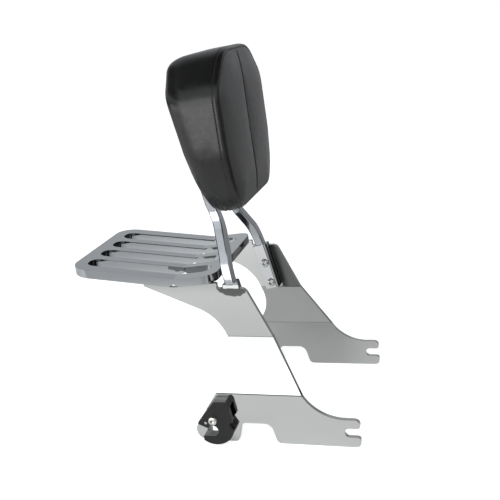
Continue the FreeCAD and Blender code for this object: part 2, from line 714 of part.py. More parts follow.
def lever_level(h0, h1, upper):
    """One of the lever's two levels: the outer plate, or what reaches in to the side plate."""
    seat_r = NOTCH_R + SEAT_PLAY
    far = 60
    handle = layer([
        (3.6, LEVER_TOP, 1), (20.1, LEVER_TOP, 0.8), (23.5, 19.4, 1), (26.6, 0.5, 0),
        (26.6, -6, 0), (-6, -6, 0), (-14.5, 1.5, 1), (-15.2, 4.6, 1.5)], h0, h1)
    hook = disc(HOOK_R, HOOK_X, HOOK_Z, h0, h1)
    hook = hook.common(layer([(-far, -far, 0), (far, -far, 0), (far, -2, 0), (-far, -2, 0)], h0, h1))
    if upper:
        level = handle.fuse(hook)
        level = level.cut(layer([(21.2, -6.1, 1), (26.2, -15.8, 0), (far, -15.8, 0), (far, 0.5, 0), (26.8, 0.5, 0)],
                                h0, h1))
    else:
        tab = layer([(-far, TAB_ROOT_Z, 0), (far, TAB_ROOT_Z, 0), (far, far, 0), (-far, far, 0)], h0, h1)
        rib = layer([(-far, 9, 0), (8, 9, 2), (8, far, 0), (-far, far, 0)], h0, h1)
        low = layer([(-far, -far, 0), (far, -far, 0), (28.6, -15.8, 0), (23.1, HOOK_TOP_Z, 1), (-far, HOOK_TOP_Z, 0)],
                    h0, h1)
        level = handle.common(tab.fuse(rib)).fuse(hook.common(low))
        level = level.cut(layer([(0, 0, 0), ray(SWEEP_ANGLE, far), ray(180, 2 * far), ray(236, far)], h0, h1))
        level = level.cut(disc(BASE_HUB_R + HUB_CLEAR, 0, 0, h0, h1))
    mouth = layer([
        (-far, 1.5, 0), (-14.5, 1.5, 0), (-6, -6, 0), (-POST_BEHIND, -POST_DROP + seat_r, 0),
        (-POST_BEHIND, -POST_DROP - seat_r, 0), (JAW_TIP_X, -POST_DROP - seat_r, 1), (JAW_TIP_X, -far, 0),
        (-far, -far, 0)], h0, h1)
    level = level.cut(mouth)
    return level.cut(disc(seat_r, -POST_BEHIND, -POST_DROP, h0, h1))


def latch_lever():
    """Hook round the post's seat, with a thumb tab above, in two levels so that it clears its base."""
    lever = lever_level(LEVER_STEP, LEVER_FACE, True)
    lever = lever.fuse(disc(POST_DROP - NOTCH_R - SEAT_PLAY, 0, 0, LEVER_STEP, LEVER_FACE))
    lever = lever.fuse(lever_level(LEVER_BACK, LEVER_STEP, False)).removeSplitter()
    return latch_place(lever.cut(disc(BUSH_R + BUSH_PLAY, 0, 0, LEVER_BACK, LEVER_FACE)))


def latch_bush():
    tube = disc(BUSH_R, 0, 0, 0, LEVER_FACE + BUSH_END_PLAY)
    return latch_place(tube.cut(disc(FOOT_SCREW_R + HOLE_PLAY, 0, 0, -1, LEVER_FACE + 1)))


def latch_wave_washer():
    """Thin spring washer that keeps the lever from turning by itself."""
    washer = disc(WAVE_WASHER_R, 0, 0, BASE_T, BASE_T + WAVE_WASHER_T)
    return latch_place(washer.cut(disc(BUSH_R + HOLE_PLAY, 0, 0, BASE_T - 1, LEVER_FACE)))


def latch_dowel():
    return latch_place(disc(DOWEL_R - BUSH_PLAY, DOWEL_X, DOWEL_Z, END_PLAY - DOWEL_DEPTH, BASE_T - DOWEL_BELOW_FACE))


def latch_screw():
    head = LEVER_FACE + BUSH_END_PLAY
    grip = head + PLATE_T + WASHER_T + NUT_H + THREAD_SHOWING
    screw = button_screw(FOOT_SCREW_R, grip, FOOT_HEAD_R, FOOT_HEAD_H, FOOT_SOCKET_R, V(0, -head, 0), V(0, -1, 0))
    return latch_place(screw)


def latch_washer():
    ring = disc(WASHER_R, 0, 0, -PLATE_T - WASHER_T, -PLATE_T)
    return latch_place(ring.cut(disc(FOOT_SCREW_R + HOLE_PLAY, 0, 0, -PLATE_T - WASHER_T - 1, 0)))


def latch_nut():
    start = PLATE_T + WASHER_T
    nut = prism6(NUT_R, V(0, start, 0), V(0, 1, 0), NUT_H)
    return latch_place(nut.cut(disc(FOOT_SCREW_R + HOLE_PLAY, 0, 0, -start - NUT_H - 1, 0)))


os.makedirs("parts", exist_ok=True)

save_pair("side_plate", [side_plate()])
save_pair("upright_foot", [upright_foot()])
save_pair("foot_screws", foot_screws())
save("upright_hoop", [hoop()])
save("luggage_rack", [luggage_rack()])
save_pair("rack_tabs", rack_tabs())
save_pair("rack_screws", rack_screws())
save("pad", [pad()])
save("pad_board", [pad_board()])
save("tee_nuts", tee_nuts())
save("pad_bracket", [pad_bracket()])
save("pad_screws", pad_screws())
save_pair("latch_base", [latch_base()])
save_pair("latch_dowel", [latch_dowel()])
save_pair("latch_bush", [latch_bush()])
save_pair("latch_wave_washer", [latch_wave_washer()])
save_pair("latch_lever", [latch_lever()])
save_pair("latch_screw", [latch_screw()])
save_pair("latch_washer", [latch_washer()])
save_pair("latch_nut", [latch_nut()])
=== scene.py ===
import bisect
import json
import math
import bpy
from mathutils import Matrix, Vector, noise
from mathutils.bvhtree import BVHTree


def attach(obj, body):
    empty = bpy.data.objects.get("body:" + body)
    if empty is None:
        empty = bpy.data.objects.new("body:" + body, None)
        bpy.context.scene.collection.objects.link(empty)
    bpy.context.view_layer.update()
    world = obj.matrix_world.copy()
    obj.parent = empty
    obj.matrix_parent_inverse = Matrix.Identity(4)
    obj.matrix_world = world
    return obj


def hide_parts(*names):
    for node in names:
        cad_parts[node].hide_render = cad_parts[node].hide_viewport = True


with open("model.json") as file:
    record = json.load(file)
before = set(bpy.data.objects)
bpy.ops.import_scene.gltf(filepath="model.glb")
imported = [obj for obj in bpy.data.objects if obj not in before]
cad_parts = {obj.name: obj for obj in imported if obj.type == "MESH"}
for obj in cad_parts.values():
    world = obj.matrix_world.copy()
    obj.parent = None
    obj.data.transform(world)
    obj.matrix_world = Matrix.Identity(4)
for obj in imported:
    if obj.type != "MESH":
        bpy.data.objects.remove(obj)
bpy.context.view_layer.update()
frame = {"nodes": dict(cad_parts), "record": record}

# The frame of the model is in metres: X forward, Y to the left, Z up. The shapes of the pad and of the upright's bar
# are worked out in millimetres, and turned into metres when their meshes are made.
MM = 0.001
ORIGIN_X = 173.95
ORIGIN_SHIFT = ORIGIN_X * MM


# Node graphs

# The part of 0 to 1 that a noise texture mostly fills
NOISE_RANGE = (0.3, 0.7)


class Graph:
    """Adds nodes to a material or the world. Most methods return the new node's output socket."""

    def __init__(self, owner):
        owner.use_nodes = True
        self.nodes = owner.node_tree.nodes
        self.links = owner.node_tree.links

    def feed(self, target, source):
        """Links a socket to the target, or writes a number or a colour there."""
        if isinstance(source, tuple):
            target.default_value = (*source, 1)
        elif isinstance(source, (int, float)):
            target.default_value = source
        else:
            self.links.new(source, target)

    def cover(self, target, share, colour):
        """Mixes a colour, by a share, over what already feeds the target."""
        before = target.links[0].from_socket
        self.feed(target, self.mix(share, before, colour))

    def output(self, kind, name):
        """An output of a new node that needs no input."""
        return self.nodes.new(kind).outputs[name]

    def place(self):
        """Coordinates in metres that stay with the object."""
        return self.output("ShaderNodeTexCoord", "Object")

    def facing(self):
        """The three parts of the direction that the surface faces."""
        return self.split(self.output("ShaderNodeNewGeometry", "Normal"))

    def split(self, vector):
        node = self.nodes.new("ShaderNodeSeparateXYZ")
        self.feed(node.inputs["Vector"], vector)
        return node.outputs["X"], node.outputs["Y"], node.outputs["Z"]

    def value(self, operation, first, second=0.0, third=0.0):
        """A maths node over sockets or numbers."""
        node = self.nodes.new("ShaderNodeMath")
        node.operation = operation
        for socket, source in zip(node.inputs, (first, second, third)):
            self.feed(socket, source)
        return node.outputs[0]

    def times(self, first, *others):
        """The product of sockets and numbers."""
        for other in others:
            first = self.value("MULTIPLY", first, other)
        return first

    def smooth(self, source, low, high):
        """A soft step from 0 at low to 1 at high."""
        node = self.nodes.new("ShaderNodeMapRange")
        node.interpolation_type = "SMOOTHSTEP"
        self.feed(node.inputs["Value"], source)
        node.inputs["From Min"].default_value = low
        node.inputs["From Max"].default_value = high
        return node.outputs["Result"]

    def mix(self, share, first, second):
        """A colour: the first at a share of 0, the second at 1."""
        node = self.nodes.new("ShaderNodeMix")
        node.data_type = "RGBA"
        for name, source in zip(("Factor", "A", "B"), (share, first, second)):
            self.feed(node.inputs[name], source)
        return node.outputs["Result"]

    def cloud(self, place, scale, detail=3.0, roughness=0.5):
        """Grey noise."""
        node = self.nodes.new("ShaderNodeTexNoise")
        self.feed(node.inputs["Vector"], place)
        for name, number in (("Scale", scale), ("Detail", detail), ("Roughness", roughness)):
            node.inputs[name].default_value = number
        return node.outputs["Fac"]

    def ramp(self, source, low, high):
        """A colour between low and high, over the range that noise fills."""
        node = self.nodes.new("ShaderNodeValToRGB")
        for stop, position, colour in zip(node.color_ramp.elements, NOISE_RANGE, (low, high)):
            stop.position = position
            stop.color = (*colour, 1)
        self.feed(node.inputs["Fac"], source)
        return node.outputs["Color"]

    def grey_ramp(self, source, low, high):
        return self.ramp(source, (low,) * 3, (high,) * 3)

    def bump(self, height, strength, distance, normal=None):
        """A relief, on top of another one where a normal is given."""
        node = self.nodes.new("ShaderNodeBump")
        self.feed(node.inputs["Height"], height)
        node.inputs["Strength"].default_value = strength
        node.inputs["Distance"].default_value = distance
        if normal is not None:
            self.feed(node.inputs["Normal"], normal)
        return node.outputs["Normal"]


# Materials. Of a pair of limits, the first is where a soft step starts and the second where it is complete.

# Dark colours: the room's, which the world also shows, and those that paint shade and dark reflections onto the chrome
DARK_ROOM = (0.05, 0.052, 0.055)
DARK_MIRROR = (0.03, 0.035, 0.035)
NO_LIGHT = (0.0, 0.0, 0.0)

# Darkest share of a metal's colour, lowest and highest share of a roughness, and a factor and offset for paler paint
METAL_CLOUD = 0.965
METAL_GLOSS = (0.75, 1.35)
COAT_GLOSS = (0.85, 1.2)
COAT_WORN = (1.5, 0.004)
# Painted highlight on the coat where it faces up: its colour, its share, and the facing over which it comes in
COAT_TOP_HIGHLIGHT_COLOUR = (0.19, 0.193, 0.19)
COAT_TOP_HIGHLIGHT_SHARE = 0.8
COAT_TOP_HIGHLIGHT_FACING = (0.5, 0.8)


def new_material(name):
    """A material with its graph and the inputs of its shader."""
    material = bpy.data.materials.new(name)
    graph = Graph(material)
    return material, graph, graph.nodes["Principled BSDF"].inputs


def metal(name, colour, roughness, wave=0.0, grain=0.0):
    """Plated or bare metal with an uneven gloss, and either slow waves from polishing or a fine grain."""
    material, graph, shader = new_material(name)
    place = graph.place()
    shader["Metallic"].default_value = 1.0
    darker = tuple(part * METAL_CLOUD for part in colour)
    graph.feed(shader["Base Color"], graph.ramp(graph.cloud(place, scale=14.0), darker, colour))
    gloss = graph.cloud(place, scale=90.0, detail=4.0)
    graph.feed(shader["Roughness"], graph.grey_ramp(gloss, *(roughness * share for share in METAL_GLOSS)))
    if wave:
        relief = graph.bump(graph.cloud(place, scale=22.0, detail=1.0), strength=wave, distance=2 * MM)
    else:
        relief = graph.bump(graph.cloud(place, scale=900.0, detail=2.0), strength=grain, distance=0.1 * MM)
    graph.feed(shader["Normal"], relief)
    return material


def coated(name, colour, roughness):
    """Satin black coat with a fine orange-peel surface, and a painted highlight that makes it paler where it faces up.
    """
    material, graph, shader = new_material(name)
    place = graph.place()
    factor, offset = COAT_WORN
    paler = tuple(part * factor + offset for part in colour)
    graph.feed(shader["Base Color"], graph.ramp(graph.cloud(place, scale=60.0), colour, paler))
    # Painted highlight: faces that look up are mixed towards a paler grey
    up = graph.smooth(graph.facing()[2], *COAT_TOP_HIGHLIGHT_FACING)
    graph.cover(shader["Base Color"], graph.times(up, COAT_TOP_HIGHLIGHT_SHARE), COAT_TOP_HIGHLIGHT_COLOUR)
    gloss = graph.cloud(place, scale=300.0)
    graph.feed(shader["Roughness"], graph.grey_ramp(gloss, *(roughness * share for share in COAT_GLOSS)))
    peel = graph.cloud(place, scale=700.0, detail=2.0)
    graph.feed(shader["Normal"], graph.bump(peel, strength=0.25, distance=0.15 * MM))
    shader["Specular IOR Level"].default_value = 0.30
    return material


def vinyl(name):
    """Black upholstery vinyl: pebbled grain over fine creases, and a slightly uneven tone and gloss."""
    material, graph, shader = new_material(name)
    place = graph.place()
    tone = graph.cloud(place, scale=26.0, detail=4.0)
    graph.feed(shader["Base Color"], graph.ramp(tone, (0.0042, 0.0043, 0.0040), (0.0062, 0.0063, 0.0059)))
    graph.feed(shader["Roughness"], graph.grey_ramp(graph.cloud(place, scale=180.0), 0.27, 0.34))
    pebbles = graph.nodes.new("ShaderNodeTexVoronoi")
    pebbles.feature = "SMOOTH_F1"
    pebbles.inputs["Scale"].default_value = 900.0
    graph.feed(pebbles.inputs["Vector"], place)
    creases = graph.cloud(place, scale=90.0, detail=5.0, roughness=0.6)
    coarse = graph.bump(creases, strength=0.06, distance=0.5 * MM)
    fine = graph.bump(pebbles.outputs["Distance"], strength=0.22, distance=0.10 * MM, normal=coarse)
    graph.feed(shader["Normal"], fine)
    shader["Specular IOR Level"].default_value = 0.40
    return material


def plain(name, low, high, roughness, scale):
    """Matt surface with a mottled colour, for wood and thread."""
    material, graph, shader = new_material(name)
    place = graph.place()
    graph.feed(shader["Base Color"], graph.ramp(graph.cloud(place, scale, detail=4.0), low, high))
    shader["Roughness"].default_value = roughness
    rough = graph.cloud(place, scale=scale * 6)
    graph.feed(shader["Normal"], graph.bump(rough, strength=0.3, distance=0.2 * MM))
    return material


# Facing limits of the painted shade on narrow faces
EDGE_FACING_FORWARD = (0.25, 0.6)
EDGE_FACING_BACK = (-0.12, -0.38)


def shade_edges(material, forward_share, back_share):
    """Paints shade, standing in for dark reflections, on the narrow faces that look forward or back, so that outlines
    read against the white room.
    """
    graph = Graph(material)
    facing = graph.facing()[0]
    forward = graph.times(graph.smooth(facing, *EDGE_FACING_FORWARD), forward_share)
    back = graph.times(graph.smooth(facing, *EDGE_FACING_BACK), back_share)
    base = graph.nodes["Principled BSDF"].inputs["Base Color"]
    graph.cover(base, graph.value("MAXIMUM", forward, back), DARK_ROOM)
    return material


# Side plates: where their painted shade and painted dark reflections lie, which faces have them, and how strong they
# are
LOWER_BEND = (70.6 * MM, 71.2 * MM)
UPPER_BEND = (142.0 * MM, 142.6 * MM)
RIGHT_FACING = (-0.3, -0.6)
BEND_LINES = (71.0 * MM, 142.0 * MM)
BEND_LINE_FADE = (0.9 * MM, 0.3 * MM)
BEND_SHADE_SHARE = 0.55
BEND_SHADE_COLOUR = (0.10, 0.11, 0.11)
NEAR_MIDDLE_SHADE = 0.52
NEAR_UPPER_SHADE = 0.10
PLATE_TOP = 209.5 * MM
# Painted shade at the right plate's shoulder: its middle, size, unevenness, rim, share and colour
SHOULDER_X = ORIGIN_SHIFT - 137.5 * MM
SHOULDER_HALF = 20 * MM
SHOULDER_DEPTH = 11 * MM
SHOULDER_UNEVEN = 0.9
SHOULDER_RIM = (1.5, 1.3)
SHOULDER_SHADE_SHARE = 0.88
SHOULDER_SHADE_COLOUR = (0.06, 0.06, 0.06)
# Painted dark reflection on the left plate's inner face before the foot: the foot's front edge, the fade, the shade
# and its heights, and a duller roughness
FOOT_EDGE_X = ORIGIN_SHIFT - 84.0 * MM
FOOT_EDGE_SLOPE = 0.22
FOOT_EDGE_FADE = (-0.5 * MM, 0.5 * MM)
FOOT_SHADE_FADE = (13 * MM, 1 * MM)
FOOT_SHADE = 0.64
FOOT_SHADE_EXTRA = 0.30
FOOT_CAP_SHADE_HEIGHTS = (201 * MM, 205 * MM)
FOOT_CAP_SHADE = 0.6
FOOT_DULL = (0.42, 0.42, 0.42)
# Painted shade over the left plate's inner face, growing towards the rear
FAR_PLATE_FADE = (ORIGIN_SHIFT + 15 * MM, ORIGIN_SHIFT - 50 * MM)
FAR_PLATE_SHADE = 0.19


def plate_chrome(name, colour, roughness, wave):
    """Polished plate with painted shade in place of dark reflections: lines along its bends, darker middle and upper
    zones and a dark rounded patch at the shoulder on the right plate's outer face, and on the left plate's inner face
    a dark patch before the foot and a darker rear.
    """
    material = metal(name, colour, roughness, wave=wave)
    graph = Graph(material)
    shader = graph.nodes["Principled BSDF"].inputs
    base = shader["Base Color"]
    place = graph.place()
    x, y, z = graph.split(place)
    right_face = graph.smooth(graph.facing()[1], *RIGHT_FACING)
    left_plate = graph.smooth(y, -1 * MM, 1 * MM)
    near_face = graph.times(right_face, graph.value("SUBTRACT", 1.0, left_plate))
    far_face = graph.times(right_face, left_plate)
    upper = graph.smooth(z, *UPPER_BEND)
    middle = graph.value("SUBTRACT", graph.smooth(z, *LOWER_BEND), upper)

    # Painted shade: dark lines along the two bends
    for height in BEND_LINES:
        distance = graph.value("ABSOLUTE", graph.value("SUBTRACT", z, height))
        line = graph.times(graph.smooth(distance, *BEND_LINE_FADE), BEND_SHADE_SHARE)
        graph.cover(base, line, BEND_SHADE_COLOUR)

    # Painted shade: the right plate's outer face is toned down over its middle and upper zones
    graph.cover(base, graph.times(near_face, middle, NEAR_MIDDLE_SHADE), NO_LIGHT)
    graph.cover(base, graph.times(near_face, upper, NEAR_UPPER_SHADE), NO_LIGHT)

    # Painted shade: a dark patch with an uneven rim on the right plate's outer face, below its top edge
    across = graph.value("DIVIDE", graph.value("SUBTRACT", x, SHOULDER_X), SHOULDER_HALF)
    down = graph.value("DIVIDE", graph.value("SUBTRACT", PLATE_TOP, z), SHOULDER_DEPTH)
    squares = graph.value("ADD", graph.value("POWER", across, 2.0), graph.value("POWER", down, 2.0))
    uneven = graph.times(graph.cloud(place, scale=110.0, detail=1.0), SHOULDER_UNEVEN)
    shoulder = graph.smooth(graph.value("ADD", squares, uneven), *SHOULDER_RIM)
    graph.cover(base, graph.times(shoulder, near_face, SHOULDER_SHADE_SHARE), SHOULDER_SHADE_COLOUR)

    # Painted dark reflection: the left plate's inner face above the upper bend and ahead of the foot, darker close to
    # the foot and near the top, and duller there
    edge = graph.value("ADD", graph.times(z, -FOOT_EDGE_SLOPE), FOOT_EDGE_X)
    ahead = graph.value("SUBTRACT", x, edge)
    before_foot = graph.smooth(ahead, *FOOT_EDGE_FADE)
    zone = graph.times(before_foot, upper, far_face)
    close = graph.value("MULTIPLY_ADD", graph.smooth(ahead, *FOOT_SHADE_FADE), FOOT_SHADE_EXTRA, FOOT_SHADE)
    cap = graph.times(graph.smooth(z, *FOOT_CAP_SHADE_HEIGHTS), FOOT_CAP_SHADE)
    graph.cover(shader["Roughness"], zone, FOOT_DULL)
    graph.cover(base, graph.times(zone, graph.value("MAXIMUM", close, cap)), DARK_MIRROR)

    # Painted shade: the left plate's inner face darkens towards the rear, ahead of the foot or below the upper bend
    below_bend = graph.smooth(z, *reversed(UPPER_BEND))
    reached = graph.value("MAXIMUM", before_foot, below_bend)
    far = graph.times(far_face, graph.smooth(x, *FAR_PLATE_FADE), reached)
    graph.cover(base, graph.times(far, FAR_PLATE_SHADE), DARK_MIRROR)
    return material


# Painted reflection tones on forward faces: distance from the middle in millimetres, and grey. The span is in metres.
TONE_SPAN = 0.1
RACK_FRONT_PAINTED_TONES = ((0.0, 0.03), (60.0, 0.03), (74.0, 0.10), (90.0, 0.40))
FOOT_FRONT_PAINTED_TONES = ((72.6, 0.03), (74.8, 0.05), (76.0, 0.75), (77.4, 0.05), (83.0, 0.03), (86.5, 0.25))
# Where the painted reflection comes in, and the painted shade on the top of the right foot's outer face and on faces
# that look right
TONE_FACING = (0.35, 0.7)
NEAR_TOP_FACING = (-0.5, -0.8)
NEAR_TOP_HEIGHT = (203 * MM, 206 * MM)
NEAR_TOP_SHADE_COLOUR = (0.36, 0.365, 0.37)
RIGHT_SHADE_FACING = (-0.4, -0.7)


def front_chrome(name, colour, roughness, wave, tones, near_top=0.0, right_shade=0.0):
    """Polished piece whose forward faces carry a painted reflection of a dark room with bright slits. Painted shade
    can tone down the top of the right one's outer face, by near_top, and all the faces that look right, by
    right_shade."""
    material = metal(name, colour, roughness, wave=wave)
    graph = Graph(material)
    base = graph.nodes["Principled BSDF"].inputs["Base Color"]
    forward, sideways, _ = graph.facing()
    _, y, z = graph.split(graph.place())
    slits = graph.nodes.new("ShaderNodeValToRGB")
    graph.feed(slits.inputs["Fac"], graph.value("DIVIDE", graph.value("ABSOLUTE", y), TONE_SPAN))
    stops = slits.color_ramp.elements
    for number, (distance, grey) in enumerate(tones):
        position = distance * MM / TONE_SPAN
        stop = stops[number] if number < 2 else stops.new(position)
        stop.position = position
        stop.color = (grey, grey, grey, 1)
    # Painted shade on the top of the right one's outer face and on faces that look right, then the painted reflection
    # on forward faces
    near = graph.times(graph.smooth(sideways, *NEAR_TOP_FACING), graph.smooth(y, 1 * MM, -1 * MM),
                       graph.smooth(z, *NEAR_TOP_HEIGHT))
    graph.cover(base, graph.times(near, near_top), NEAR_TOP_SHADE_COLOUR)
    graph.cover(base, graph.times(graph.smooth(sideways, *RIGHT_SHADE_FACING), right_shade), NO_LIGHT)
    graph.cover(base, graph.smooth(forward, *TONE_FACING), slits.outputs["Color"])
    return material


# The chrome materials carry painted shade and painted reflections from shade_edges, plate_chrome and front_chrome
CHROME = shade_edges(plate_chrome("chrome", (0.525, 0.535, 0.52), 0.045, wave=0.012), 0.5, 0.93)
CHROME_BAR = shade_edges(metal("chrome_bar", (0.425, 0.44, 0.46), 0.13, wave=0.02), 0.25, 0.85)
CHROME_RACK = front_chrome("chrome_rack", (0.475, 0.496, 0.508), 0.06, 0.03, RACK_FRONT_PAINTED_TONES, right_shade=0.21)
CHROME_FOOT = front_chrome("chrome_foot", (0.53, 0.54, 0.54), 0.045, 0.012, FOOT_FRONT_PAINTED_TONES, near_top=1.0)
ZINC = metal("zinc", (0.50, 0.50, 0.50), 0.18, grain=0.3)
BRIGHT = metal("bright_steel", (0.60, 0.59, 0.56), 0.16, grain=0.3)
BRASS = metal("brass", (0.62, 0.44, 0.18), 0.22, grain=0.2)
BLACK = coated("black_coat", (0.0060, 0.0060, 0.0057), 0.32)
VINYL = vinyl("black_vinyl")
WOOD = plain("stained_plywood", (0.022, 0.020, 0.018), (0.045, 0.040, 0.036), 0.7, 60.0)
THREAD = plain("thread", (0.010, 0.010, 0.010), (0.022, 0.022, 0.022), 0.6, 900.0)

MATERIAL_BY_SLOT = {
    "chrome_plate": CHROME,
    "chrome_bar": CHROME_BAR,
    "chrome_rack": CHROME_RACK,
    "black_coat": BLACK,
    "screw_steel": ZINC,
    "latch_screw_steel": BRIGHT,
    "spring_steel": BRIGHT,
    "bush_brass": BRASS,
    "board_wood": WOOD,
    "black_vinyl": VINYL,
}


# Nodes of the frame that show their CAD shape

SLOT_BY_NODE = {entry["node"]: entry["material_slot"] for entry in frame["record"]["subparts"]}

# Radii in millimetres of the rounded edges. Other nodes keep their CAD edges.
EDGE_BY_STEM = {
    "side_plate": 0.9,
    "upright_foot": 0.8,
    "upright_hoop": 1.8,
    "luggage_rack": 2.2,
    "latch_lever": 0.7,
    "latch_base": 0.6,
    "rack_tabs": 0.4,
    "pad_bracket": 0.4,
}
FLAT_ANGLE = math.radians(0.6)
SHARP_ANGLE = math.radians(28)


def dress_node(name, node):
    """Material, smooth shading and rounded edges for a node of the frame."""
    stem = name.replace("_right", "").replace("_left", "")
    node.data.materials.clear()
    node.data.materials.append(CHROME_FOOT if stem == "upright_foot" else MATERIAL_BY_SLOT[SLOT_BY_NODE[name]])
    for face in node.data.polygons:
        face.use_smooth = True
    flat = node.modifiers.new("flat_faces", "DECIMATE")
    flat.decimate_type = "DISSOLVE"
    flat.angle_limit = FLAT_ANGLE
    if stem in EDGE_BY_STEM:
        edges = node.modifiers.new("edges", "BEVEL")
        edges.width = EDGE_BY_STEM[stem] * MM
        edges.segments = 3
        edges.limit_method = "ANGLE"
        edges.angle_limit = SHARP_ANGLE
        flats = node.modifiers.new("normals", "WEIGHTED_NORMAL")
        flats.keep_sharp = True
        flats.weight = 80
    else:
        node.modifiers.new("split", "EDGE_SPLIT").split_angle = SHARP_ANGLE


for node_name, node_object in frame["nodes"].items():
    dress_node(node_name, node_object)


# Lines, meshes and objects

ARC_STEPS = 16


def rounded_line(corners):
    """Dense line through corners given as (across, up, radius)."""
    line = [Vector(corners[0][:2])]
    for before, corner, after in zip(corners, corners[1:], corners[2:]):
        point = Vector(corner[:2])
        radius = corner[2]
        a = (Vector(before[:2]) - point).normalized()
        b = (Vector(after[:2]) - point).normalized()
        half = a.angle(b) / 2
        reach = radius / math.tan(half)
        centre = point + (a + b).normalized() * (radius / math.sin(half))
        first = point + a * reach - centre
        last = point + b * reach - centre
        for step in range(ARC_STEPS + 1):
            line.append(centre + first.lerp(last, step / ARC_STEPS).normalized() * radius)
    line.append(Vector(corners[-1][:2]))
    return line


def lengths_along(line):
    """Distance along a line from its start to each of its points."""
    lengths = [0.0]
    for a, b in zip(line, line[1:]):
        lengths.append(lengths[-1] + (b - a).length)
    return lengths


def spot(line, lengths, distance):
    """Number of the run that lies at a distance along a line, and the point there."""
    run = min(max(bisect.bisect_right(lengths, distance) - 1, 0), len(line) - 2)
    step = lengths[run + 1] - lengths[run]
    return run, line[run].lerp(line[run + 1], (distance - lengths[run]) / step if step else 0.0)


def along(line, distances):
    """Points of a line at the given distances from its start."""
    lengths = lengths_along(line)
    return [spot(line, lengths, distance)[1] for distance in distances]


def tangents(line, distances, reach):
    """Directions of a line at the given distances, taken over a reach to either side."""
    end = lengths_along(line)[-1]
    behind = along(line, [max(distance - reach, 0.0) for distance in distances])
    ahead = along(line, [min(distance + reach, end) for distance in distances])
    return [(b - a).normalized() for a, b in zip(behind, ahead)]


def tube_faces(start, size, rings):
    """Faces of a capped tube, whose rings of a size follow each other from a first vertex on."""
    faces = []
    for ring in range(rings - 1):
        for k in range(size):
            a = start + ring * size + k
            b = start + ring * size + (k + 1) % size
            faces.append((a, b, b + size, a + size))
    last = start + (rings - 1) * size
    faces.append(tuple(range(start, start + size))[::-1])
    faces.append(tuple(range(last, last + size)))
    return faces


def add_object(name, data):
    piece = bpy.data.objects.new(name, data)
    bpy.context.scene.collection.objects.link(piece)
    return piece


def add_mesh(name, vertices, faces):
    mesh = bpy.data.meshes.new(name)
    mesh.from_pydata(vertices, [], faces)
    mesh.validate()
    return add_object(name, mesh)


def fade(number, start, end):
    """0 up to a start and 1 from an end on."""
    return min(1.0, max(0.0, (number - start) / (end - start)))


# Pad: a sewn cover over foam, in millimetres. Its outline has corners (y, z, radius) on the right half.

PAD_TOP = 508.5
PAD_LOW = 309.0
PAD_OUTLINE = ((56.0, PAD_TOP, 60.0), (105.5, 464.0, 38.0), (106.0, 384.0, 80.0), (94.5, 335.0, 80.0),
               (70.0, PAD_LOW, 30.0))
PAD_FRONT_X = ORIGIN_X - 115.9
PAD_FRONT_LEAN = 0.041
PAD_BACK_X = ORIGIN_X - 164.3
PAD_BACK_LEAN = 0.207
PAD_TANGENT_REACH = 1.0
PAD_ROWS = 54
PAD_COLUMNS = (0.0, 0.7, 1.6, 3.0, 5.2, 8.0, 11.5, 15.5, 20.0, 24.5, 29.0, 33.5, 38.0, 42.5, 47.0, 51.5, 56.0,
               60.5, 65.0, 69.5, 74.0, 78.0, 81.5, 84.5, 87.5, 90.5, 93.0)

# Rows of (inset from the outline, depth behind the front) over the panel's edge, its seam and the stitched welt
FRONT_PROFILE = (
    (9.0, -0.35), (7.2, -0.3), (6.1, -0.1), (5.5, 0.35), (5.1, 1.1), (4.7, 0.45), (4.1, 0.05), (3.3, 0.1),
    (2.5, 0.6), (1.9, 1.4), (1.45, 2.4), (1.05, 3.6), (0.7, 4.9), (0.5, 6.0), (1.0, 6.9), (0.35, 7.8),
    (0.1, 9.0), (0.0, 11.0))
STITCH_ROW = 14
PANEL_RISE = 0.35

# Rows of (inset, distance ahead of the back) of the pocket that holds the board
POCKET_PROFILE = ((17.3, 0.05), (17.55, 0.3), (17.7, 0.9), (17.7, 4.5), (17.8, 10.4), (18.6, 11.2), (22.0, 11.2))
POCKET_DEPTH = 11.2

# The plain side, and the roll round the back's edge, of which the first steps are free to swell
BOXING_ROWS = 9
ROLL_STEPS = 18
ROLL_FREE_STEPS = 8
ROLL_INSET = 23.0
ROLL_END = 17.0
ROLL_HEIGHT = 29.0
ROLL_SHARE = 0.495

# The side droops towards the back, most of all low down, and a little more at the top
DROOP = 0.075
DROOP_INSET = 16.0
DROOP_LOW = (345.0, 309.0)
DROOP_LOW_EXTRA = 1.7
DROOP_HIGH = (455.0, 495.0)
DROOP_HIGH_EXTRA = 0.5

# The front panel's crown, the groove of its middle seam, and half the strip that is held along that seam
CROWN = 3.2
CROWN_REACH = 32.0
SEAM_DEPTH = 1.5
SEAM_WIDTH = 1.3
SEAM_SEWN = 2.5


def pad_front(z):
    """The front panel's x at a height."""
    return PAD_FRONT_X - PAD_FRONT_LEAN * (z - PAD_LOW)


def pad_back(z):
    """The back's x at a height."""
    return PAD_BACK_X - PAD_BACK_LEAN * (z - PAD_LOW)


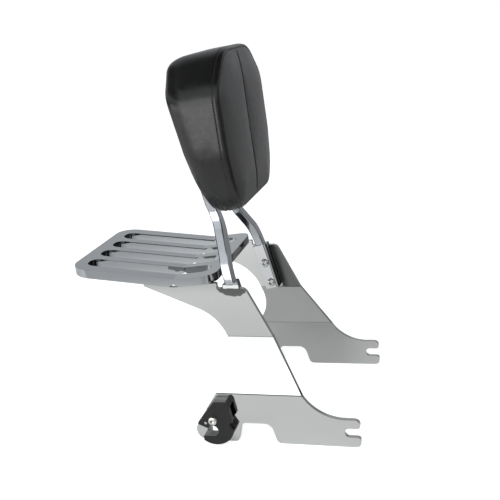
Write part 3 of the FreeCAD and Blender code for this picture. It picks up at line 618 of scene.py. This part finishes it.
def pad_ring():
    """Outline points (y, z) and outward directions, all the way round from the middle of the top."""
    line = rounded_line([(0.0, PAD_TOP, 0.0), *PAD_OUTLINE, (0.0, PAD_LOW, 0.0)])
    lengths = lengths_along(line)
    total = lengths[-1]
    top_length = lengths[max(range(len(line)), key=lambda k: line[k].x + line[k].y)]
    foot_length = total - lengths[max(range(len(line)), key=lambda k: line[k].x - line[k].y)]
    side_length = total - top_length - foot_length
    shares = [column / PAD_COLUMNS[-1] for column in PAD_COLUMNS]
    distances = [share * top_length for share in shares]
    distances += [top_length + side_length * k / PAD_ROWS for k in range(1, PAD_ROWS)]
    distances += [total - share * foot_length for share in shares[::-1]]
    right = along(line, distances)
    normals = [Vector((-tangent.y, tangent.x)) for tangent in tangents(line, distances, PAD_TANGENT_REACH)]
    normals[0] = Vector((0.0, 1.0))
    normals[-1] = Vector((0.0, -1.0))
    ring, outward = (half + [Vector((-p.x, p.y)) for p in half[-2:0:-1]] for half in (right, normals))
    return ring, outward


def pad_profile(z):
    """Rows of (inset, x) from the front panel round the side and the back to the pocket, at a height."""
    front = pad_front(z)
    back = pad_back(z)
    rows = [(inset, front - depth) for inset, depth in FRONT_PROFILE]
    last = rows[-1][1]
    height = min(ROLL_HEIGHT, ROLL_SHARE * (front - back))
    for step in range(1, BOXING_ROWS + 1):
        rows.append((0.0, last + (back + height - last) * step / BOXING_ROWS))
    reach = math.acos(1 - ROLL_END / ROLL_INSET)
    lift = height * (1 - math.sin(reach))
    for step in range(1, ROLL_STEPS + 1):
        angle = reach * step / ROLL_STEPS
        rows.append((ROLL_INSET * (1 - math.cos(angle)), back + height * (1 - math.sin(angle)) - lift))
    rows += [(inset, back + ahead) for inset, ahead in POCKET_PROFILE]
    return rows


def droop(inset, x, z):
    """How far the cover's side sags, in millimetres."""
    extra = 1 + DROOP_LOW_EXTRA * fade(z, *DROOP_LOW) + DROOP_HIGH_EXTRA * fade(z, *DROOP_HIGH)
    return DROOP * extra * (pad_front(z) - x) * max(0.0, 1 - inset / DROOP_INSET)


def crown(rim):
    """How far the front panel stands out at a distance from its rim, in millimetres."""
    share = min(1.0, rim / CROWN_REACH)
    return CROWN * share * (2 - share)


def seam_depth(y):
    """Depth of the groove along the middle seam, in millimetres."""
    return SEAM_DEPTH * math.exp(-(y / SEAM_WIDTH) ** 2)


def coons(ring, columns, rows):
    """Grid of (y, z) inside a ring whose sides have columns and rows of cells, starting at the middle of the top."""
    half = columns // 2
    count = len(ring)
    top = [ring[(i - half) % count] for i in range(columns + 1)]
    right = [ring[(half + j) % count] for j in range(rows + 1)]
    foot = [ring[(half + rows + columns - i) % count] for i in range(columns + 1)]
    left = [ring[(half + columns + 2 * rows - j) % count] for j in range(rows + 1)]
    grid = []
    for j in range(rows + 1):
        v = j / rows
        line = []
        for i in range(columns + 1):
            u = i / columns
            across = top[i] * (1 - v) + foot[i] * v
            down = left[j] * (1 - u) + right[j] * u
            corners = (top[0] * (1 - u) + top[-1] * u) * (1 - v) + (foot[0] * (1 - u) + foot[-1] * u) * v
            line.append(across + down - corners)
        grid.append(line)
    return grid


def build_pad_mesh():
    """The sewn cover, with a group of the vertices that are held, and the line that its stitches follow, in metres."""
    ring, outward = pad_ring()
    count = len(ring)
    half = len(PAD_COLUMNS) - 1
    columns = 2 * half
    profile_count = len(pad_profile(PAD_LOW))
    free_from = len(FRONT_PROFILE) - 1
    free_to = len(FRONT_PROFILE) + BOXING_ROWS + ROLL_FREE_STEPS
    vertices = []
    faces = []
    pinned = []
    index = []
    for row in range(profile_count):
        line = []
        for point, direction in zip(ring, outward):
            inset = pad_profile(point.y)[row][0]
            place = point - direction * inset
            x = pad_profile(place.y)[row][1]
            line.append(len(vertices))
            vertices.append(Vector((x, place.x, place.y - droop(inset, x, place.y))))
            pinned.append(not (free_from < row < free_to or row == 0))
        index.append(line)
    for upper, lower in zip(index, index[1:]):
        for k in range(count):
            following = (k + 1) % count
            faces.append((upper[k], upper[following], lower[following], lower[k]))

    def fill(rim_row, front):
        """Closes a row of the profile with a grid: the front panel, or the floor of the pocket."""
        boundary = [Vector((vertices[i].y, vertices[i].z)) for i in rim_row]
        grid = coons(boundary, columns, PAD_ROWS)
        numbers = {}
        for j in range(PAD_ROWS + 1):
            for i in range(columns + 1):
                if j == 0:
                    numbers[i, j] = rim_row[(i - half) % count]
                elif j == PAD_ROWS:
                    numbers[i, j] = rim_row[(3 * half + PAD_ROWS - i) % count]
                elif i == columns:
                    numbers[i, j] = rim_row[(half + j) % count]
                elif i == 0:
                    numbers[i, j] = rim_row[(3 * half + 2 * PAD_ROWS - j) % count]
                else:
                    y, z = grid[j][i]
                    if front:
                        rim = min((Vector((y, z)) - point).length for point in boundary)
                        x = pad_front(z) + PANEL_RISE - seam_depth(y) + crown(rim)
                    else:
                        x = pad_back(z) + POCKET_DEPTH
                    numbers[i, j] = len(vertices)
                    vertices.append(Vector((x, y, z)))
                    pinned.append(not front or abs(y) < SEAM_SEWN)
        for j in range(PAD_ROWS):
            for i in range(columns):
                quad = (numbers[i, j], numbers[i, j + 1], numbers[i + 1, j + 1], numbers[i + 1, j])
                faces.append(quad if front else quad[::-1])

    fill(index[0], True)
    fill(index[-1], False)
    for k, point in enumerate(ring):
        if abs(point.x) < SEAM_SEWN:
            pinned[index[0][k]] = True
    pad = add_mesh("pad_cover", [vertex * MM for vertex in vertices], faces)
    group = pad.vertex_groups.new(name="sewn")
    group.add([number for number, held in enumerate(pinned) if held], 1.0, "REPLACE")
    return pad, [vertices[i] * MM for i in index[STITCH_ROW]]


SWELL_STEPS = 20
SWELL_CAP = 4.5 * MM


def inflate(pad, cap):
    """Foam presses the cover out between its seams: a short cloth simulation, its travel capped in metres."""
    rest = [vertex.co.copy() for vertex in pad.data.vertices]
    cloth = pad.modifiers.new("cloth", "CLOTH")
    settings = cloth.settings
    settings.vertex_group_mass = "sewn"
    settings.quality = 6
    settings.mass = 0.3
    settings.tension_stiffness = 25
    settings.compression_stiffness = 25
    settings.shear_stiffness = 15
    settings.bending_stiffness = 2.0
    settings.use_pressure = True
    settings.uniform_pressure_force = 5.0
    settings.effector_weights.gravity = 0.0
    cloth.point_cache.frame_start = 1
    cloth.point_cache.frame_end = SWELL_STEPS + 4
    scene = bpy.context.scene
    for step in range(1, SWELL_STEPS + 1):
        scene.frame_set(step)
    evaluated = pad.evaluated_get(bpy.context.evaluated_depsgraph_get())
    swollen = [vertex.co.copy() for vertex in evaluated.data.vertices]
    pad.modifiers.remove(cloth)
    scene.frame_set(1)
    farthest = 0.0
    for vertex, before, after in zip(pad.data.vertices, rest, swollen):
        move = after - before
        length = move.length
        if length > 0.0:
            move *= cap * math.tanh(length / cap) / length
        vertex.co = before + move
        farthest = max(farthest, move.length)
    pad.data.update()
    print("pad swells by", round(farthest / MM, 2), "mm")


def subdivide(piece, levels):
    """Bakes a subdivision surface into the mesh."""
    surface = piece.modifiers.new("smooth", "SUBSURF")
    surface.levels = levels
    evaluated = piece.evaluated_get(bpy.context.evaluated_depsgraph_get())
    mesh = bpy.data.meshes.new_from_object(evaluated)
    piece.modifiers.remove(surface)
    old = piece.data
    piece.data = mesh
    bpy.data.meshes.remove(old)


# Pleats along the back edge of the lower corners: (distance ahead of the back, depth), and the angles round a
# corner's centre (y, z) over which they come and go. Unevenness of the foam: (depth, noise scale).
PLEATS = ((11.0, 3.2), (15.0, 4.0), (19.0, 3.6), (23.5, 2.4))
PLEAT_WIDTH = 1.25
PLEAT_CENTRE = (56.0, 329.0)
PLEAT_SIDE_END = (0.22, -0.18)
PLEAT_FOOT_END = (-1.75, -1.35)
PLEAT_SWAY = 1.2
PLEAT_SWAY_RATE = 2.5
FOAM_WAVES = ((0.35, 38.0), (0.12, 110.0))
FOAM_FROM = (10.0, 22.0)
BACK_BAND = 12.0
BACK_FACING = 0.97
BEHIND_BACK = -0.5


def wrinkle(pad):
    """Pleats where the cover is gathered at its lower corners, and slow unevenness of the foam."""
    mesh = pad.data
    normals = [vertex.normal.copy() for vertex in mesh.vertices]
    for vertex, normal in zip(mesh.vertices, normals):
        x, y, z = vertex.co / MM
        above = x - pad_back(z)
        deep = pad_front(z) - x
        flat_back = above < BACK_BAND and abs(normal.x) > BACK_FACING
        if above < BEHIND_BACK or deep < FOAM_FROM[0] or flat_back:
            continue
        share = fade(deep, *FOAM_FROM)
        move = sum(depth * share * noise.noise(vertex.co * rate) for depth, rate in FOAM_WAVES)
        angle = math.atan2(z - PLEAT_CENTRE[1], abs(y) - PLEAT_CENTRE[0])
        turn = fade(angle, *PLEAT_SIDE_END) * fade(angle, *PLEAT_FOOT_END)
        for height, depth in PLEATS:
            sway = PLEAT_SWAY * noise.noise(Vector((angle * PLEAT_SWAY_RATE, height, 0.0)))
            move -= depth * turn * math.exp(-((above - height - sway) / PLEAT_WIDTH) ** 2)
        vertex.co += normal * (move * MM)
    mesh.update()


# Stitches: rings of a thread as (share of its length, share of its radius, lift in radii), and sizes in millimetres
STITCH_RINGS = ((-0.5, 0.25, -0.9), (-0.42, 0.8, -0.2), (-0.2, 1.0, 0.35), (0.2, 1.0, 0.35), (0.42, 0.8, -0.2),
                (0.5, 0.25, -0.9))
STITCH_SIDES = 6
RIM_STITCH = {"step": 3.9, "length": 2.7, "radius": 0.42, "lift": 0.05}
SEAM_STITCH = {"step": 3.4, "length": 2.3, "radius": 0.36, "lift": 0.0}
SEAM_END = 6.5
SEAM_RUNS = 40


def seats_on(surface, line, step):
    """Stitch seats (place, direction, normal) at even steps along a line, dropped onto the surface."""
    lengths = lengths_along(line)
    seats = []
    count = int(lengths[-1] / step)
    for number in range(count):
        run, place = spot(line, lengths, (number + 0.5) * lengths[-1] / count)
        direction = (line[run + 1] - line[run]).normalized()
        found, normal, _, _ = surface.find_nearest(place)
        direction = (direction - normal * direction.dot(normal)).normalized()
        seats.append((found, direction, normal))
    return seats


def add_stitches(name, surface, line, size):
    """Row of short threads that follows a line over the surface."""
    vertices = []
    faces = []
    length, radius, lift = (size[key] * MM for key in ("length", "radius", "lift"))
    for place, direction, normal in seats_on(surface, line, size["step"] * MM):
        side = direction.cross(normal).normalized()
        faces += tube_faces(len(vertices), STITCH_SIDES, len(STITCH_RINGS))
        for share, thick, rise in STITCH_RINGS:
            middle = place + direction * (share * length) + normal * (rise * radius + lift)
            for k in range(STITCH_SIDES):
                angle = 2 * math.pi * k / STITCH_SIDES
                vertices.append(middle + (side * math.cos(angle) + normal * math.sin(angle)) * (radius * thick))
    piece = add_mesh(name, vertices, faces)
    for face in piece.data.polygons:
        face.use_smooth = True
    piece.data.materials.append(THREAD)
    return piece


def make_pad():
    pad, rim = build_pad_mesh()
    inflate(pad, SWELL_CAP)
    subdivide(pad, 1)
    wrinkle(pad)
    for face in pad.data.polygons:
        face.use_smooth = True
    pad.data.materials.append(VINYL)
    surface = BVHTree.FromObject(pad, bpy.context.evaluated_depsgraph_get())
    ends = [Vector((pad_front(z) + CROWN / 2, 0.0, z)) * MM for z in (PAD_TOP - SEAM_END, PAD_LOW + SEAM_END)]
    seam = [ends[0].lerp(ends[1], k / SEAM_RUNS) for k in range(SEAM_RUNS + 1)]
    for piece in (add_stitches("pad_stitches", surface, [*rim, rim[0]], RIM_STITCH),
                  add_stitches("pad_seam_stitches", surface, seam, SEAM_STITCH)):
        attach(piece, "frame")
    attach(pad, "frame")
    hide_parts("pad")


make_pad()


# Upright bar: one bent bar from foot to foot, with the long soft bends of the photograph. Its paths have corners
# (across, up, radius) in millimetres: seen from the side, x from the origin of the plates, and seen from the front, y.

BAR_SIDE_PATH = ((-133.8, 175.0, 0.0), (-149.85, 248.0, 60.0), (-170.79, 309.0, 60.0), (-207.11, 484.3, 0.0))
BAR_FRONT_PATH = ((-80.0, 213.6, 0.0), (-80.0, 231.0, 60.0), (-37.35, 286.0, 45.0), (-37.35, 462.85, 33.0),
                  (37.35, 462.85, 33.0), (37.35, 286.0, 45.0), (80.0, 231.0, 60.0), (80.0, 213.6, 0.0))
BAR_HALF_WIDE = 7.15
BAR_HALF_DEEP = 6.485
BAR_EDGE = 1.8
BAR_EDGE_STEPS = 4
BAR_GUARD = BAR_EDGE + 0.4
BAR_STEP = 2.0
BAR_TANGENT_REACH = 0.5
FOOT_X, FOOT_Z, _ = BAR_SIDE_PATH[0]
FOOT_LEAN = math.radians(12.4)
FOOT_TOP = 39.5


def bar_section():
    """Rounded rectangle as points (sideways, forward), with guard points that keep the flats flat."""
    points = []
    for right, front in ((1, 1), (-1, 1), (-1, -1), (1, -1)):
        arc = [(BAR_HALF_WIDE, BAR_HALF_DEEP - BAR_GUARD)]
        for step in range(BAR_EDGE_STEPS + 1):
            angle = math.pi / 2 * step / BAR_EDGE_STEPS
            arc.append((BAR_HALF_WIDE - BAR_EDGE * (1 - math.cos(angle)),
                        BAR_HALF_DEEP - BAR_EDGE * (1 - math.sin(angle))))
        arc.append((BAR_HALF_WIDE - BAR_GUARD, BAR_HALF_DEEP))
        arc = [(right * wide, front * deep) for wide, deep in arc]
        points += arc if right * front > 0 else arc[::-1]
    return points


def make_bar():
    side = rounded_line(BAR_SIDE_PATH)
    heights = [point.y for point in side]

    def middle_x(z):
        """Middle of the bar at a height, seen from the side."""
        run = min(max(bisect.bisect_right(heights, z) - 1, 0), len(side) - 2)
        rise = heights[run + 1] - heights[run]
        return side[run].x + (side[run + 1].x - side[run].x) * (z - heights[run]) / rise

    line = rounded_line(BAR_FRONT_PATH)
    length = lengths_along(line)[-1]
    count = int(length / BAR_STEP)
    distances = [length * k / count for k in range(count + 1)]
    section = bar_section()
    vertices = []
    directions = tangents(line, distances, BAR_TANGENT_REACH)
    for number, (place, tangent) in enumerate(zip(along(line, distances), directions)):
        for wide, deep in section:
            y = place.x - tangent.y * wide
            z = place.y + tangent.x * wide
            x = middle_x(z) + deep
            if number in (0, count):
                # The ends are cut along the top of the leaning feet
                z = FOOT_Z + (FOOT_TOP + (x - FOOT_X) * math.sin(FOOT_LEAN)) / math.cos(FOOT_LEAN)
            vertices.append(Vector((ORIGIN_X + x, y, z)) * MM)
    bar = add_mesh("upright_bar", vertices, tube_faces(0, len(section), count + 1))
    for face in bar.data.polygons:
        face.use_smooth = len(face.vertices) == 4
    bar.data.materials.append(CHROME_BAR)
    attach(bar, "frame")
    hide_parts("upright_hoop")


make_bar()


# Camera at the photograph's place: on the right side of the part, a little to the front and above

CAMERA_AZIMUTH = math.radians(16.93)
CAMERA_ELEVATION = math.radians(17.57)
CAMERA_ROLL = math.radians(-6.37)
CAMERA_PLACE = Vector((155.0, -954.3, 546.4)) * MM + Vector((ORIGIN_SHIFT, 0, 0))
CAMERA_LENS = 54.0


def make_camera():
    data = bpy.data.cameras.new("camera")
    data.lens = CAMERA_LENS
    data.sensor_width = 36.0
    data.clip_start = 0.01
    camera = add_object("camera", data)
    level = math.cos(CAMERA_ELEVATION)
    back = Vector((math.sin(CAMERA_AZIMUTH) * level, -math.cos(CAMERA_AZIMUTH) * level, math.sin(CAMERA_ELEVATION)))
    right = Vector((0, 0, 1)).cross(back).normalized()
    up = back.cross(right)
    turned_right = right * math.cos(CAMERA_ROLL) + up * math.sin(CAMERA_ROLL)
    turned_up = up * math.cos(CAMERA_ROLL) - right * math.sin(CAMERA_ROLL)
    axes = Matrix((turned_right, turned_up, back)).transposed().to_4x4()
    camera.matrix_world = Matrix.Translation(CAMERA_PLACE) @ axes
    bpy.context.scene.camera = camera


make_camera()


# Floor: pale, with the object's shadow. What the chrome mirrors of it fades to a dark room, at places in metres.

FLOOR_HALF = 30.0
FLOOR_COLOUR = (0.80, 0.80, 0.80)
FLOOR_FAR_COLOUR = (0.03, 0.03, 0.033)
FLOOR_GLOW_CAMERA = 0.70
FLOOR_GLOW_GLOSSY = 0.29
FLOOR_FRONT_FADE = (2.3, 2.9)
FLOOR_REAR_FADE = (2.3, 2.9)
FLOOR_BACK_FADE = (0.4, 0.7)
FLOOR_BACK_SHADE = 0.55
FLOOR_DISTANT_FADE = (1.2, 1.5)
FLOOR_DISTANT_SHADE = 0.35
FLOOR_PATCH_START = (0.58, 0.72)
FLOOR_PATCH_END = (1.4, 1.1)
FLOOR_PATCH_SHADE = 0.45
FLOOR_AHEAD_FADE = (0.33, 0.42)
FLOOR_AHEAD_SIDES = (0.75, 0.5)
FLOOR_STRIP = 0.60
FLOOR_STRIP_FADE = (0.045, 0.03)


def make_floor():
    """Wide pale floor. It keeps the shadow, shows as white to the camera, and in the chrome it fades with distance."""
    corners = [(side * FLOOR_HALF, end * FLOOR_HALF, 0) for side, end in ((-1, -1), (1, -1), (1, 1), (-1, 1))]
    floor = add_mesh("floor", corners, [(0, 1, 2, 3)])
    material, graph, shader = new_material("floor")
    shader["Roughness"].default_value = 0.9
    shader["Specular IOR Level"].default_value = 0.1
    x, y, _ = graph.split(graph.output("ShaderNodeNewGeometry", "Position"))

    # The far side, beyond the left plate, and the near side, towards the camera
    step = FLOOR_DISTANT_SHADE - FLOOR_BACK_SHADE
    distant = graph.value("MULTIPLY_ADD", graph.smooth(y, *FLOOR_DISTANT_FADE), step, FLOOR_BACK_SHADE)
    behind = graph.times(graph.smooth(y, *FLOOR_BACK_FADE), distant)
    towards = graph.times(y, -1.0)
    patch = graph.times(graph.smooth(towards, *FLOOR_PATCH_START), graph.smooth(towards, *FLOOR_PATCH_END),
                        FLOOR_PATCH_SHADE)
    rear = graph.smooth(graph.times(x, -1.0), *FLOOR_REAR_FADE)
    beyond = graph.value("MAXIMUM", graph.smooth(towards, *FLOOR_FRONT_FADE), rear)
    beyond = graph.value("MAXIMUM", beyond, graph.value("MAXIMUM", behind, patch))

    # The floor ahead of the part, with a bright strip across it
    beside = graph.smooth(graph.value("ABSOLUTE", y), *FLOOR_AHEAD_SIDES)
    off_strip = graph.value("ABSOLUTE", graph.value("SUBTRACT", x, FLOOR_STRIP))
    dark = graph.value("MULTIPLY_ADD", graph.smooth(off_strip, *FLOOR_STRIP_FADE), -1.0, 1.0)
    fading = graph.value("MAXIMUM", beyond, graph.times(graph.smooth(x, *FLOOR_AHEAD_FADE), beside, dark))

    rays = graph.nodes.new("ShaderNodeLightPath").outputs
    mirrored = graph.mix(fading, FLOOR_COLOUR, FLOOR_FAR_COLOUR)
    graph.feed(shader["Base Color"], graph.mix(rays["Is Camera Ray"], mirrored, FLOOR_COLOUR))
    seen = graph.times(rays["Is Camera Ray"], FLOOR_GLOW_CAMERA)
    share = graph.value("MULTIPLY_ADD", fading, -FLOOR_GLOW_GLOSSY, FLOOR_GLOW_GLOSSY)
    glow = graph.nodes.new("ShaderNodeEmission")
    graph.feed(glow.inputs["Strength"], graph.value("ADD", seen, graph.times(rays["Is Glossy Ray"], share)))
    total = graph.nodes.new("ShaderNodeAddShader")
    graph.feed(total.inputs[0], graph.nodes["Principled BSDF"].outputs["BSDF"])
    graph.feed(total.inputs[1], glow.outputs["Emission"])
    graph.feed(graph.nodes["Material Output"].inputs["Surface"], total.outputs["Shader"])
    floor.data.materials.append(material)


# World: colours, and where each starts and ends in the direction that is looked in (ahead, across to the left, up)

SOFTBOX_COLOUR = (1.16, 1.19, 1.24)
SOFTBOX_FOOT = (0.10, 0.20)
SOFTBOX_TOP = (0.80, 0.88)
WALL_LOW_COLOUR = (0.60, 0.61, 0.625)
WALL_HIGH_COLOUR = (0.49, 0.505, 0.525)
WALL_HEIGHTS = (0.05, 0.6)
WALL_TOP = (0.62, 0.85)
FRONT_TO_WALL = (-0.1, 0.25)
AHEAD_COLOUR = (0.06, 0.06, 0.065)
AHEAD_START = (0.55, 0.8)
AHEAD_END = (0.35, 0.15)
REAR_START = (-0.45, -0.7)
REAR_FOOT = (0.25, 0.45)
SLIT_COLOUR = (1.1, 1.1, 1.1)
SLIT_START = (0.86, 0.9)
SLIT_SIDES = (0.12, 0.08)
WHITE = (1.0, 1.0, 1.0)


def make_world():
    """White studio to the camera. The chrome shows a softbox on the camera's side, a pale wall on the far side, and a
    dark room with one bright slit at the ends."""
    world = bpy.data.worlds.new("studio")
    bpy.context.scene.world = world
    graph = Graph(world)
    ahead, across, height = graph.split(graph.output("ShaderNodeTexCoord", "Generated"))
    box = graph.mix(graph.smooth(height, *SOFTBOX_TOP), SOFTBOX_COLOUR, DARK_ROOM)
    box = graph.mix(graph.smooth(height, *SOFTBOX_FOOT), DARK_ROOM, box)
    wall = graph.mix(graph.smooth(height, *WALL_HEIGHTS), WALL_LOW_COLOUR, WALL_HIGH_COLOUR)
    wall = graph.mix(graph.smooth(height, *WALL_TOP), wall, DARK_ROOM)
    room = graph.mix(graph.smooth(across, *FRONT_TO_WALL), box, wall)
    front_end = graph.times(graph.smooth(ahead, *AHEAD_START), graph.smooth(across, *AHEAD_END))
    room = graph.mix(front_end, room, AHEAD_COLOUR)
    rear_end = graph.times(graph.smooth(ahead, *REAR_START), graph.smooth(height, *REAR_FOOT))
    room = graph.mix(rear_end, room, DARK_ROOM)
    slit = graph.times(graph.smooth(ahead, *SLIT_START), graph.smooth(graph.value("ABSOLUTE", across), *SLIT_SIDES))
    room = graph.mix(slit, room, SLIT_COLOUR)
    camera_ray = graph.output("ShaderNodeLightPath", "Is Camera Ray")
    background = graph.nodes["Background"].inputs
    graph.feed(background["Color"], graph.mix(camera_ray, room, WHITE))
    background["Strength"].default_value = 1.0


# Lamps: name, place, target, width, height, watts, and whether the chrome shows them
LAMPS = (
    ("softbox", (-0.36, -1.34, 0.66), (0.03, -0.1, 0.66), 1.3, 0.46, 5.4, True),
    ("strip", (-0.36, -1.34, 0.28), (0.03, -0.1, 0.28), 1.3, 0.30, 6.0, True),
    ("side_strip", (-1.45, -0.75, 0.27), (0.0, -0.1, 0.27), 1.2, 0.28, 3.4, True),
    ("top", (-0.1, -0.5, 2.1), (0, 0, 0.1), 1.6, 1.6, 13, False),
)


def make_lamp(name, place, target, width, height, watts, glossy):
    data = bpy.data.lights.new(name, "AREA")
    data.shape = "RECTANGLE"
    data.size = width
    data.size_y = height
    data.energy = watts
    lamp = add_object(name, data)
    lamp.location = place
    lamp.rotation_euler = (Vector(target) - Vector(place)).to_track_quat("-Z", "Y").to_euler()
    lamp.visible_camera = False
    lamp.visible_glossy = glossy


make_floor()
make_world()
for lamp_values in LAMPS:
    make_lamp(*lamp_values)

bpy.context.scene.view_settings.view_transform = "Standard"
